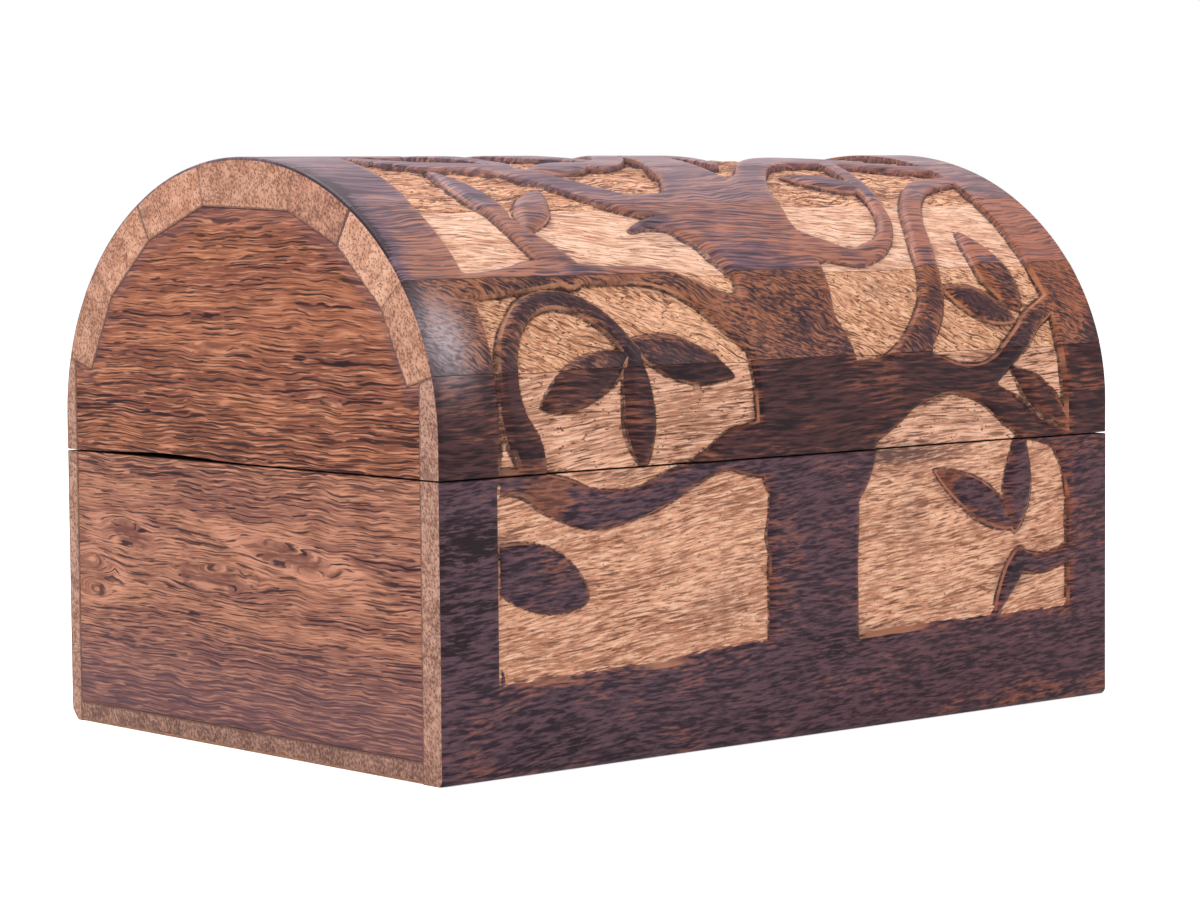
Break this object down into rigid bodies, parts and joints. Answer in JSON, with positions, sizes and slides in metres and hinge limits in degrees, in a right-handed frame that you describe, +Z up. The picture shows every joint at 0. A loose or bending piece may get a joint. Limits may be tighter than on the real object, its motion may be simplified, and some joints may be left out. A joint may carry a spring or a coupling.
{
  "type": "wooden jewelry box",
  "caption": "Carved wooden jewelry box with a hinged, coopered dome lid over a deep base.",
  "frame": {"origin": "middle of the box's flat underside", "axes": "+X along the length to the right of the carved front, +Y from the front to the hinged back, +Z up"},
  "size_m": [0.203, 0.1438, 0.13],
  "materials": {
    "carved_wood": "burnt and carved, satin",
    "end_wood": "satin, strong horizontal figure",
    "plain_wood": "stained, satin",
    "brass": "aged"
  },
  "bodies": {
    "base": {"front_board": "carved_wood", "back_board": "plain_wood", "bottom_board": "plain_wood", "left_end_panel": "end_wood", "right_end_panel": "end_wood", "hinge_base_leaf_left": "brass", "hinge_base_leaf_right": "brass", "hinge_pin_left": "brass", "hinge_pin_right": "brass", "hinge_base_screw_left_1": "brass", "hinge_base_screw_left_2": "brass", "hinge_base_screw_right_1": "brass", "hinge_base_screw_right_2": "brass"},
    "lid": {"lid_front_rail": "carved_wood", "lid_back_rail": "plain_wood", "lid_stave_1": "carved_wood", "lid_stave_2": "carved_wood", "lid_stave_3": "carved_wood", "lid_stave_4": "carved_wood", "lid_stave_5": "carved_wood", "lid_stave_6": "carved_wood", "lid_stave_7": "carved_wood", "lid_left_end_panel": "end_wood", "lid_right_end_panel": "end_wood", "hinge_lid_leaf_left": "brass", "hinge_lid_leaf_right": "brass", "hinge_lid_screw_left_1": "brass", "hinge_lid_screw_left_2": "brass", "hinge_lid_screw_right_1": "brass", "hinge_lid_screw_right_2": "brass"}
  },
  "joints": [
    {"name": "lid_hinge", "type": "hinge", "parent": "base", "child": "lid", "pos_m": [0, 0.072, 0.063], "axis": [-1, 0, 0], "range_deg": [0, 100]}
  ]
}
